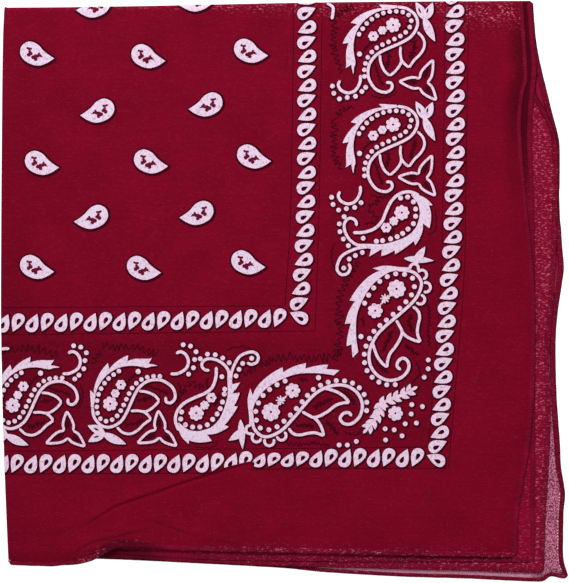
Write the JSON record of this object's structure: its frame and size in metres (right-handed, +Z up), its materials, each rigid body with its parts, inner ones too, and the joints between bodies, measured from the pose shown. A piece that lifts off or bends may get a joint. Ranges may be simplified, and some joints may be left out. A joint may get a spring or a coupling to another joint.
{
  "type": "bandana folded in four",
  "caption": "Square printed cotton kerchief with narrow hems, folded in four and laid flat, its open edges at the right and near side.",
  "frame": {"origin": "the middle of the underside's bounding rectangle, on the surface that the cloth lies on", "axes": "+Z up from the surface, +X towards the open right-hand edges, +Y towards the far fold, so that the left fold is at -X and the other open edges are at -Y"},
  "size_m": [0.2828, 0.2896, 0.0069],
  "materials": {
    "printed_cotton": "thin plain-weave cotton, matt, burgundy with a white and dark paisley print",
    "plain_cotton": "the same cotton where no print shows, slightly paler",
    "hem_cotton": "the same cotton turned under and overcast with matching thread"
  },
  "bodies": {
    "root": {"back_quarter": "printed_cotton", "back_hem_right": "hem_cotton", "back_hem_bottom": "hem_cotton", "hidden_quarters": "plain_cotton", "third_hem_right": "hem_cotton", "third_hem_bottom": "hem_cotton", "second_hem_right": "hem_cotton", "second_hem_bottom": "hem_cotton", "front_quarter": "printed_cotton", "front_hem_right": "hem_cotton", "front_hem_bottom": "hem_cotton"}
  },
  "joints": []
}
